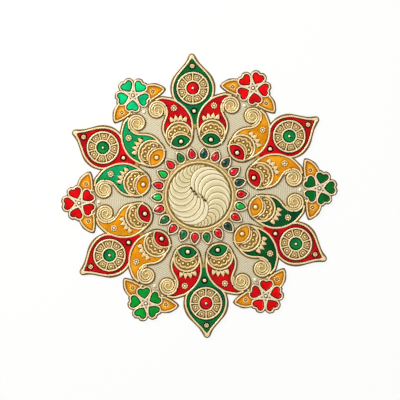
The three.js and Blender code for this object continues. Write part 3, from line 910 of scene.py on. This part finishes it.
def five(outline):
    """An outline turned into each of the flower's five places."""
    return [moved(turned(outline, 360 / HEARTS * i), FLOWER_ORBIT * 1j) for i in range(HEARTS)]


def leaf(curve=LEAF_CURVE):
    return wound(moved(smooth(points(curve), closed=True, pitch=0.7), FLOWER_ORBIT * 1j))


def symmetric(curve):
    """A closed outline from the curve of its right side, upward."""
    return both_sides(smooth(points(curve)))


def leaning(path):
    """A petal's line, with its tip a little to the right of its axis, as on the plate in the photo."""
    return [p + TIP_LEAN * min(max((p.imag - 126) / 16, 0), 1) for p in path]


def drop(margin=0.0, pitch=0.7):
    """A drop stone's outline: round towards the middle of the plate, pointed outward."""
    return grown(both_sides(smooth(points(DROP_SIDE), pitch=pitch))[:-1], margin)


# The pieces


class THALI_OT_body(bpy.types.Operator):
    """Make the plate's body, whose rim follows everything that stands on it"""

    bl_idname = "thali.body"
    bl_label = "Body"

    def execute(self, context):
        outlines = [circle(PAISLEY_ORBIT + BULB_RADIUS, pitch=1.2)]
        for k in range(SECTORS):
            turn = k * SECTOR_ANGLE
            half = turn + SECTOR_ANGLE / 2
            outlines.append(turned(leaning(symmetric(PETAL_EDGE)), turn))
            lobe = five(grown(heart(LOBE_SIDE, LOBE_NOTCH), HEART_RIM))
            lobe += [circle(15, FLOWER_ORBIT * 1j), leaf(LEAF_EDGE), mirrored(leaf(LEAF_EDGE))]
            outlines += [turned(outline, half) for outline in lobe]
            for side in (1, -1):
                tail = moved(grown(tail_cell(), PAISLEY_RIM), PAISLEY_ORBIT * 1j)
                disc = circle(VOLUTE_RADIUS + PAISLEY_RIM - 1, VOLUTE_CENTRE + PAISLEY_ORBIT * 1j)
                for outline in (tail, disc):
                    facing = mirrored(outline) if side > 0 else outline
                    outlines.append(turned(facing, turn + side * PAISLEY_SPREAD))
        form = Form()
        form.pillow(evenly(union(outlines), 0.9, True), RIM_LEVELS)
        brass = look(plate_brass, "aged gilt brass sheet", context.scene.thali_colours)
        seat(form, "plate_body", [brass], "plate_gold", "base_plate")
        return {"FINISHED"}


class THALI_OT_ground(bpy.types.Operator):
    """Make the hatched ground between the paisleys, one field for each lobe"""

    bl_idname = "thali.ground"
    bl_label = "Hatched ground"

    def execute(self, context):
        half = SECTOR_ANGLE / 2
        inner, bend, outer_corner = 40, 75, -11 + 115j
        edge = turned(moved(back_line(), PAISLEY_ORBIT * 1j), PAISLEY_SPREAD)
        side = [ray(inner, 90 + half), ray(bend, 90 + half)] + [p for p in edge if abs(p) > bend - 1]
        side.append(outer_corner)
        form = Form()
        form.pillow(wound(side + mirrored(side) + arc(inner, 90 - half, 90 + half)[1:-1]),
                    [(0, 1.6), (0, FIELD_TOP)])
        scene = context.scene
        material = look(hatched_gold, "engine-turned gilt ground", scene.thali_colours,
                        scene.thali_sizes.hatch_pitch)
        for k in range(SECTORS):
            place = sector(k, 1)
            piece = seat(form.placed(place), f"hatched_ground_{k + 1}", [material], "cloison_gold")
            uv = piece.data.uv_layers.new(name="hatch")
            back_to_lobe = place.inverted()
            for loop in piece.data.loops:
                at = back_to_lobe @ piece.data.vertices[loop.vertex_index].co
                uv.data[loop.index].uv = (at.x, at.y)
        return {"FINISHED"}


def paisley_tail(pitch):
    walls = [back_line(), belly_line(), circle(BULB_RADIUS), volute(0, 0.3), arc(18.2, *CROWN_ENDS)]
    return Form().pool(tail_cell(), meniscus(walls, [(ROSETTE_PLACE, 2.8, 4.6, 0.16)]), BASE_TOP, pitch)


def paisley_eye(pitch):
    walls = [arc(EYE_RADIUS, *EYE_ENDS, EYE_CENTRE), circle(BULB_RADIUS)]
    return Form().pool(eye_cell(), meniscus(walls, [(EYE_PEARL, 1.6, 4.0, 0.3)]), BASE_TOP, pitch)


def lotus_crown(form):
    """A fan of pointed leaves over the bulb, on a band of patina and painted shade with small beads."""
    start, end = CROWN_ENDS
    inner, beads, outer = 14.0, 15.7, 16.8
    band = wound(arc(outer, start, end) + arc(inner, end, start))
    # Band of patina and painted shade between the leaves
    form.pillow(band, [(0, 2.9), (0, 3.32), (0.3, 3.4)], PATINA_AND_SHADE)
    for angle, tip in CROWN_TIPS:
        edge = [(beads, 6.2), (17.0, 7.4), (18.5, 6.2), (19.8, 3.2), (tip, 0)]
        right = smooth([ray(radius, angle - off) for radius, off in edge], pitch=0.6)
        form.pillow(folded(right, angle), [(0, 3.0), (0.05, 3.45), (0.3, 3.72), (0.6, 3.88)],
                    centre=(ray(17.6, angle), 4.0))
    for angle in (90.5, 105.5, 121.5):
        form.bead(ray(beads, angle), 0.9, 3.3, look=LOW, sides=6)


def paisley_bulb(form, pearl):
    """The bulb's round ridge, its scalloped band with beads and the lid and pearl of its eye."""
    floor = 3.0
    form.sweep(circle(BULB_RADIUS), CLOISON, closed=True)
    ground = arc(BULB_RADIUS, -31, 221) + arc(EYE_RADIUS, 167, 22, EYE_CENTRE)
    form.pillow(wound(ground), [(0, 2.2), (0, floor + 0.01)], LOW)
    form.sweep(arc(EYE_RADIUS, *EYE_ENDS, EYE_CENTRE), scaled(WIRE, 0.85))
    form.sweep(evenly(both_sides(points(SCALLOPS)), 0.5), FINE)
    form.sweep(smooth(points(WAVE), pitch=0.5), FINE)
    # Patina lines, also painted shade inside the ridge and round each bead
    form.ink(circle(BULB_RADIUS - 1.5), floor + 0.01, 0.6)
    for x, y, radius in BULB_BEADS:
        form.ink(circle(radius + 0.3, complex(x, y), pitch=0.5), floor + 0.03, 0.7)
        form.bead(complex(x, y), radius, floor, rise=0.75)
    form.bead(EYE_PEARL, pearl, ENAMEL_TOP - 0.2, look=LOW, sides=16)


def paisley_gilt(sizes):
    """All the gilt of a paisley: its running ridge and volute, and what stands in them."""
    form = Form()
    contour = list(reversed(back_line())) + arc(BULB_RADIUS, 199, 365) + belly_line()[1:]
    form.sweep(contour[:-2] + volute(0.02, 1), CLOISON)
    form.sweep(volute(0.95, CURL_TURNS), scaled(CLOISON, 0.72), taper=1.5)
    form.disc(4.4, BASE_TOP, 3.2, CURL_CENTRE, LOW)
    entry = points([(8.1, 23.6), (6.6, 26.2), (5.9, 29.0)])
    form.sweep(smooth(entry + volute(0.04, 0.9, 0.5)), STRAND, look=LOW, taper=2)
    paisley_bulb(form, sizes.pearl_radius / MM)
    lotus_crown(form)
    rosette(form, ROSETTE_PLACE, 2.5, sizes.dot_radius / MM, ENAMEL_TOP - 0.05)
    return form


class THALI_OT_paisleys(bpy.types.Operator):
    """Make the paisleys, each with its running ridge, volute, bulb, eye, crown and rosette"""

    bl_idname = "thali.paisleys"
    bl_label = "Paisleys"

    def execute(self, context):
        sizes = context.scene.thali_sizes
        pitch = sizes.cell_pitch / MM
        tail, eye, gilt = paisley_tail(pitch), paisley_eye(pitch), paisley_gilt(sizes)
        for k in range(SECTORS):
            for side, word in ((1, "left"), (-1, "right")):
                place = paisley_place(k, side)
                name = f"paisley_{k + 1}_{word}"
                seat(tail.placed(place), name + "_tail", *fired(PAISLEY_COLOURS[k]), name)
                seat(eye.placed(place), name + "_eye", *fired(EYE_COLOURS[k]), name)
                seat(gilt.placed(place), name + "_gilt", *metals(), name)
        return {"FINISHED"}


class THALI_OT_petals(bpy.types.Operator):
    """Make the petals, each with its ridge, its enamel and its two beads"""

    bl_idname = "thali.petals"
    bl_label = "Petals"

    def execute(self, context):
        cell = leaning(symmetric(PETAL_CELL))
        walls = [[p for p in cell if p.imag > FOOT_END], circle(16.4, PETAL_ORBIT * 1j)]
        dips = [(FOOT_PEARL, 1.4, 4.0, 0.3), (TIP_ROSETTE, 1.8, 4.2, 0.3)]
        pitch = context.scene.thali_sizes.cell_pitch / MM
        pool = Form().pool(cell, meniscus(walls, dips, reach=0.8), BASE_TOP, pitch)
        gilt = Form()
        gilt.sweep(leaning(symmetric(PETAL_CREST)), CLOISON)
        gilt.pillow(leaning(both_sides(points(TIP_CAP))[:-1]), [(0, 2.4), (0, 3.8), (0.3, 4.05)])
        gilt.pillow(symmetric(FOOT_CAP)[:-1], [(0, 2.2), (0, 3.0), (0.4, 3.08)], LOW)
        gilt.bead(FOOT_PEARL, 1.9, ENAMEL_TOP - 0.2, sides=16)
        rosette(gilt, TIP_ROSETTE, 1.75, 0.75, ENAMEL_TOP, middle=0.8)
        for k in range(SECTORS):
            name = f"petal_{k + 1}"
            seat(pool.placed(sector(k)), name + "_enamel", *fired(PETAL_COLOURS[k]), name)
            seat(gilt.placed(sector(k)), name + "_gilt", *metals(), name)
        return {"FINISHED"}


def medallion_gilt():
    """The wheel of a petal medallion: two rings, eight spokes and a framed plaque in each cell."""
    form = Form()
    floor = ENAMEL_TOP + 0.1
    wheel, hub, spot_orbit = 16.2, 7.5, 12.0
    # Floor of patina and painted shade between the wheel's cells
    form.disc(wheel + 0.7, ENAMEL_TOP, floor, look=PATINA_AND_SHADE)
    for radius in (wheel, hub):
        form.sweep(circle(radius), WHEEL, closed=True)
    for i in range(SPOKES):
        angle = 360 / SPOKES * i - 3
        form.sweep([ray(8 + j, angle) for j in range(9)], scaled(WHEEL, 0.75))
        middle = angle + 180 / SPOKES
        plaque = wound(folded([ray(radius, middle - off) for radius, off in PLAQUE_SIDE], middle))
        form.pillow(evenly(plaque, 0.6, True), [(0, floor - 0.1), (0.1, 3.45), (0.5, 3.78)])
        spot = ray(spot_orbit, middle)
        # Ring of patina and painted shade round each dot
        form.ink(circle(1.55, spot, pitch=0.5), 3.79, 0.8)
        form.bead(spot, 1.0, 3.5, rise=0.4, look=LOW, sides=8)
    # Disc of patina and painted shade round the middle bead
    form.disc(1.3, ENAMEL_TOP, 4.5, look=PATINA_AND_SHADE)
    form.bead(0, 1.25, 4.5, rise=1.0, look=LOW, sides=16)
    return form


class THALI_OT_medallions(bpy.types.Operator):
    """Make the round medallions on the petals, with eight framed cells round a coloured disc"""

    bl_idname = "thali.medallions"
    bl_label = "Petal medallions"

    def execute(self, context):
        lift = 0.35
        gilt = medallion_gilt()
        surface = meniscus([circle(7.4)], [(0, 1.0, 2.3, 0.2)], lift, 0.9)
        disc = Form().pool(circle(7.2), surface, ENAMEL_TOP, 0.6)
        other = {"green": "red", "red": "green"}
        for k in range(SECTORS):
            place = sector(k) @ Matrix.Translation((0, PETAL_ORBIT, 0))
            name = f"petal_medallion_{k + 1}"
            finish_and_slot = fired(other[PETAL_COLOURS[k]], "medallion enamel", lift, bright=1.5)
            seat(disc.placed(place), name + "_disc", *finish_and_slot, name)
            seat(gilt.placed(place), name + "_gilt", metals()[0], "rosette_gold", name)
        return {"FINISHED"}


def bare(outline, covers):
    """The longest stretch of a closed line that no cover hides."""
    hidden = [any(inside(p, cover) for cover in covers) for p in outline]
    count = len(outline)
    runs = []
    for start in range(count):
        if not hidden[start] and hidden[start - 1]:
            length = next(n for n in range(count) if hidden[(start + n) % count])
            runs.append([outline[(start + n) % count] for n in range(length)])
    return max(runs, key=len)


def flower_hearts():
    """The enamel of the five hearts, each a low dome in its wire."""
    form = Form()
    for outline in map(wound, five(heart())):
        form.pool(outline, rising(outline, HEART_LEVELS), 2.6, 0.45)
    return form


def flower_leaves(pitch):
    """The enamel of both leaves, which lies low where the hearts cover it."""
    hearts, low = five(grown(heart(), 0.4)), 2.3
    form = Form()
    for cell in (leaf(), mirrored(leaf())):
        surface = meniscus([cell] + hearts, reach=1.2)
        form.pool(cell, lambda p: low if any(inside(p, cover) for cover in hearts) else surface(p),
                  BASE_TOP, pitch)
    return form


def flower_gilt():
    """All the gilt of a flower: the hearts' wires, the star between them and the leaves' ridges."""
    middle, turn = FLOWER_ORBIT * 1j, 360 / HEARTS
    star_top = 4.0
    form = Form()
    wires = five(grown(heart(), 0.7))
    for outline in wires:
        form.sweep(outline, scaled(WIRE, 0.92), closed=True, look=PALE)
    notch, point = STAR_RADII
    star = []
    for i in range(HEARTS):
        star += [ray(notch, 90 + turn * i, middle), ray(point, 90 + turn * (i + 0.5), middle)]
    form.pillow(evenly(star, 1.2, True), [(0, 2.1), (0, star_top - 0.02)], PALE)
    # Dimples of patina and painted shade between the hearts' tips
    for i in range(HEARTS):
        corners = [(3.7, -15), (5.8, 0), (3.7, 15)]
        dimple = [ray(radius, 126 + turn * i + off, middle) for radius, off in corners]
        form.pillow(wound(evenly(dimple, 0.7, True)), [(0, star_top - 0.1), (0, star_top + 0.03)], PATINA_AND_SHADE)
    # Ring of patina and painted shade round the middle bead
    form.ink(circle(1.8, middle, pitch=0.5), star_top + 0.02, 0.9)
    form.bead(middle, 1.2, star_top, rise=1.2, look=WHITE)
    edge = bare(leaf(), wires)
    for line, facing in ((edge, 1), (mirrored(edge), -1)):
        form.sweep(line, WIRE)
        spot = complex(facing * LEAF_ROSETTE.real, LEAF_ROSETTE.imag)
        form.bead(spot, 0.85, ENAMEL_TOP, sides=8)
        # Ring of patina and painted shade round the rosette's bead
        form.ink(circle(1.3, spot, pitch=0.5), ENAMEL_TOP + 0.12, 0.6)
        dots(form, spot, 2.5, 0.7, ENAMEL_TOP, rise=0.5, look=LOW, sides=6)
        form.bead(complex(facing * LEAF_BEAD.real, LEAF_BEAD.imag), 1.2, 2.6, look=LOW)
    form.bead(105.5j, 1.7, FIELD_TOP + 0.3, look=WHITE)
    return form


class THALI_OT_flowers(bpy.types.Operator):
    """Make the flowers, each with five set hearts and two leaves"""

    bl_idname = "thali.flowers"
    bl_label = "Flowers"

    def execute(self, context):
        pitch = context.scene.thali_sizes.cell_pitch / MM
        hearts, leaves, gilt = flower_hearts(), flower_leaves(pitch), flower_gilt()
        for k in range(SECTORS):
            name = f"flower_{k + 1}"
            place = sector(k, 1)
            seat(hearts.placed(place), name + "_hearts", *foiled(FLOWER_COLOURS[k]), name)
            seat(leaves.placed(place), name + "_leaves", *fired("orange"), name)
            seat(gilt.placed(place), name + "_gilt", *metals(), name)
        return {"FINISHED"}


class THALI_OT_stones(bpy.types.Operator):
    """Make the ring of drop stones and the gallery of cups that holds them"""

    bl_idname = "thali.stones"
    bl_label = "Stone ring"

    def execute(self, context):
        outline = wound(drop(pitch=0.45))
        stone = Form().pool(outline, rising(outline, STONE_LEVELS), STONE_FOOT, 0.45)
        gallery = Form()
        gallery.sweep(circle(37.8), GALLERY_RING, closed=True, look=LOW)
        for i in range(STONE_COUNT):
            angle = STONE_ANGLE + 360 / STONE_COUNT * i
            gallery.sweep(turned(drop(0.75), angle), scaled(WIRE, 0.92), closed=True, look=PALE)
            gap = 90 + angle + 180 / STONE_COUNT
            dimple = [ray(36.7, gap - 1.6), ray(36.7, gap + 1.6), ray(39.4, gap)]
            gallery.pillow(wound(dimple), [(0, 2.6), (0, 3.6), (0.2, 3.7)])
            gallery.pillow(turned(drop(2.1), angle), [(0, 2.0), (0.15, 2.5), (0.7, 2.75)], LOW)
            # Bright and deep greens are painted light and shade on the stones
            green = "bright green" if i in LIT_STONES else "deep green" if i in SHADED_STONES else "green"
            kind, slot = (green, "stone_green") if i % 2 else ("red", "stone_red")
            turn = Matrix.Rotation(math.radians(angle), 4, "Z")
            name = f"drop_stone_{i + 1:02d}"
            glass = look(cut_glass, kind + " glass", *(linear(code) for code in STONES[kind]))
            seat(stone.placed(turn), name + "_glass", [glass], slot, name, sharp=50)
        seat(gallery, "stone_gallery_gilt", *metals(), "stone_gallery")
        return {"FINISHED"}


# Each scale of one fan of the middle medallion, largest first: the angle of its middle and its radius
FAN = [(56.5, 17.3), (38, 17.0), (20, 16.4), (3, 15.2), (-12.5, 13.6), (-26, 11.9), (-38.5, 10.2),
       (-50, 8.8), (-60, 7.6), (-69, 6.5), (-77, 5.5), (-84, 4.7), (-90, 4.0), (-95.5, 3.4), (-100.5, 2.9)]
SEAM_SLOTS = [[(-8.8, 9.6), (-6.9, 6.8)], [(-6.2, 6.2), (-4.5, 4.0)], [(-4.2, 2.9), (-2.2, 1.5)],
              [(2.1, -1.0), (3.6, -3.1)], [(4.2, -3.7), (6.5, -6.6)]]


def fan_scales():
    reach = MEDALLION_RADIUS - 0.3
    return [[(ray(reach - radius, half + angle), radius) for angle, radius in FAN] for half in (0, 180)]


def scale_at(p, fans):
    """The scale that shows at a point: the last of each fan, and of the two the larger one."""
    below = p.imag <= -p.real
    shown = []
    for half, fan in enumerate(fans):
        covering = [i for i, (centre, radius) in enumerate(fan) if abs(p - centre) < radius]
        if covering:
            shown.append((covering[-1], half != below, fan[covering[-1]]))
    return min(shown)[2] if shown else None


def scale_height(p, fans):
    """The height of a scale: a rounded edge that drops by a step, and a slight slope behind it."""
    scale = scale_at(p, fans)
    ground, crest, slope, step = 3.7, 4.5, 0.25, 0.95
    if scale is None:
        return ground
    centre, radius = scale
    deep = radius - abs(p - centre)
    return crest - slope * min(deep / (0.3 * radius), 1.0) - step * math.exp(-((deep / 0.5) ** 2))


class THALI_OT_centre(bpy.types.Operator):
    """Make the middle medallion of two whirling fans, and the bezel round it"""

    bl_idname = "thali.centre"
    bl_label = "Centre"

    def execute(self, context):
        fans = fan_scales()
        seeds = []
        for scale in fans[0] + fans[1]:
            for deep in (0.06, 0.32, 0.6, 0.95):
                ring = circle(scale[1] - deep, scale[0], pitch=0.6)
                seeds += [p for p in ring if abs(p) < MEDALLION_RADIUS - 0.4 and scale_at(p, fans) == scale]
        relief = Form().pool(circle(MEDALLION_RADIUS, pitch=0.5), lambda p: scale_height(p, fans), BASE_TOP,
                             0.7, seeds)
        # Painted shade: dark bars where the seam's open slots are
        slot_shade = look(patina, "soot in the open slots", linear("#1a0f04"), linear("#2a1a06"))
        finishes = [look(relief_lacquer, "cream lacquered relief", context.scene.thali_colours), slot_shade]
        for slot in SEAM_SLOTS:
            relief.sweep(evenly(points(slot), 0.5), SLOT_WIRE, look=finishes.index(slot_shade))
        seat(relief, "centre_medallion_relief", finishes, "relief_cream", "centre_medallion", sharp=50)
        ring = Form()
        ring.sweep(circle(34.6), MIDDLE_RING, closed=True, look=LOW)
        seat(ring, "centre_bezel_gilt", *metals(), "centre_bezel")
        return {"FINISHED"}


# The photo's frame: its width on the table, how far its middle is off the plate's, and its turn
FRAME_WIDTH = 419.6
FRAME_OFFSET = 0.6 - 4.45j
FRAME_TURN = -3.5
CAMERA_HEIGHT = 2.2
SENSOR_WIDTH = 36


def lamp(name, place, size, power, color):
    """A square soft box that lights the plate and isn't seen itself."""
    data = bpy.data.lights.new(name, "AREA")
    data.shape = "SQUARE"
    data.size = size
    data.energy = power
    data.color = color
    made = bpy.data.objects.new(name, data)
    made.location = place
    made.rotation_euler = (-Vector(place)).to_track_quat("-Z", "Y").to_euler()
    made.visible_camera = False
    bpy.context.collection.objects.link(made)


def studio_sky(low, high):
    """A tent of light: bright low down all round, dimmer overhead."""
    world = bpy.data.worlds.new("studio tent")
    world.use_nodes = True
    way = add_node(world, "TexCoord", out="Generated")
    height = add_node(world, "SeparateXYZ", {"Vector": way}, "Z")
    strength = add_node(world, "MapRange", {"Value": height, "From Min": 0.5, "From Max": 0.9,
                                            "To Min": low, "To Max": high})
    sky = world.node_tree.nodes["Background"]
    sky.inputs["Color"].default_value = (1.0, 0.98, 0.93, 1)
    world.node_tree.links.new(strength, sky.inputs["Strength"])
    return world


class THALI_OT_stage(bpy.types.Operator):
    """Set the floor, the lamps, the sky and the camera straight above the plate"""

    bl_idname = "thali.stage"
    bl_label = "Stage"

    def execute(self, context):
        scene = context.scene
        paper, reach = Form(), 4000
        corners = [(x * reach, y * reach, -0.05) for x, y in ((-1, -1), (1, -1), (1, 1), (-1, 1))]
        paper.add(corners, [[0, 1, 2, 3]])
        paper.build("stage_paper", [stage_white()])
        lamp("key lamp", (-0.62, 0.66, 0.7), size=0.4, power=11, color=(1, 0.97, 0.9))
        lamp("fill lamp", (0.8, -0.5, 0.9), size=0.9, power=2.5, color=(1, 0.98, 0.95))
        scene.world = studio_sky(low=0.86, high=0.06)
        scene.view_settings.view_transform = "Standard"
        data = bpy.data.cameras.new("camera")
        data.sensor_width = SENSOR_WIDTH
        data.lens = SENSOR_WIDTH * CAMERA_HEIGHT / (FRAME_WIDTH * MM)
        camera = bpy.data.objects.new("camera", data)
        turn = math.radians(FRAME_TURN)
        aim = FRAME_OFFSET * cmath.rect(1, turn) * MM
        camera.location = (aim.real, aim.imag, CAMERA_HEIGHT)
        camera.rotation_euler = (0, 0, turn)
        context.collection.objects.link(camera)
        scene.camera = camera
        return {"FINISHED"}


class THALI_PT_panel(bpy.types.Panel):
    """The plate's settings and the steps that build it"""

    bl_idname = "THALI_PT_panel"
    bl_label = "Thali plate"
    bl_space_type = "VIEW_3D"
    bl_region_type = "UI"
    bl_category = "Thali"

    def draw(self, context):
        for group in (context.scene.thali_sizes, context.scene.thali_colours):
            box = self.layout.box()
            for name in group.__annotations__:
                box.prop(group, name)
        for operator in STEPS:
            self.layout.operator(operator.bl_idname)


STEPS = [THALI_OT_stage, THALI_OT_body, THALI_OT_ground, THALI_OT_paisleys, THALI_OT_petals,
         THALI_OT_medallions, THALI_OT_flowers, THALI_OT_stones, THALI_OT_centre]
CLASSES = [ThaliColours, ThaliSizes, *STEPS, THALI_PT_panel]


def register():
    for cls in CLASSES:
        bpy.utils.register_class(cls)
    bpy.types.Scene.thali_colours = PointerProperty(type=ThaliColours)
    bpy.types.Scene.thali_sizes = PointerProperty(type=ThaliSizes)


def unregister():
    del bpy.types.Scene.thali_sizes
    del bpy.types.Scene.thali_colours
    for cls in reversed(CLASSES):
        bpy.utils.unregister_class(cls)


def main():
    register()
    bpy.ops.thali.stage()
    bpy.ops.thali.body()
    bpy.ops.thali.ground()
    bpy.ops.thali.paisleys()
    bpy.ops.thali.petals()
    bpy.ops.thali.medallions()
    bpy.ops.thali.flowers()
    bpy.ops.thali.stones()
    bpy.ops.thali.centre()


if __name__ == "__main__":
    main()
